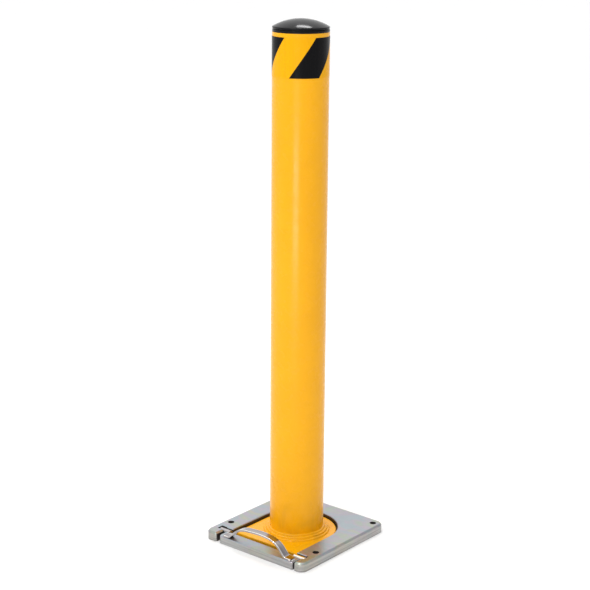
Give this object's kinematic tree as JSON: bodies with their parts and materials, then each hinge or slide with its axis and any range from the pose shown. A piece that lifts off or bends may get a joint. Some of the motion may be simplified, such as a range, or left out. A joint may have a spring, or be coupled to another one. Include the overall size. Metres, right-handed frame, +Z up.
{
  "type": "removable steel safety bollard",
  "caption": "Yellow pipe bollard with a domed black cap and hazard tape, standing in a U-shaped steel base plate closed by a drop-in lock bar with an arched handle.",
  "frame": {"origin": "centre of the base plate's underside, on the ground", "axes": "+Z up the post, -Y towards the lock bar at the front, +X to the right seen from the front"},
  "size_m": [0.268, 0.279, 1.0961],
  "materials": {
    "zinc_plate": "zinc plated, faint iridescence",
    "zinc_polished": "bright zinc plated",
    "yellow_paint": "glossy safety yellow powder coat",
    "black_plastic": "glossy black moulded plastic",
    "hazard_tape": "reflective tape, yellow with slanting black bands"
  },
  "bodies": {
    "base": {"socket_frame": "zinc_plate"},
    "bollard": {"shoe_plate": "yellow_paint", "base_weld": "yellow_paint", "post_tube": "yellow_paint", "post_cap": "black_plastic", "hazard_tape": "hazard_tape"},
    "lock_gate": {"lock_bar": "zinc_plate", "left_lock_rod": "zinc_polished", "right_lock_rod": "zinc_polished", "rod_welds": "zinc_plate", "lift_handle": "zinc_polished", "handle_welds": "zinc_plate"}
  },
  "joints": [
    {"name": "lock_gate_lift", "type": "slide", "parent": "base", "child": "lock_gate", "axis": [0, 0, 1], "range_m": [0, 0.08]},
    {"name": "bollard_lift", "type": "slide", "parent": "base", "child": "bollard", "axis": [0, 0, 1], "range_m": [0, 0.15]}
  ]
}
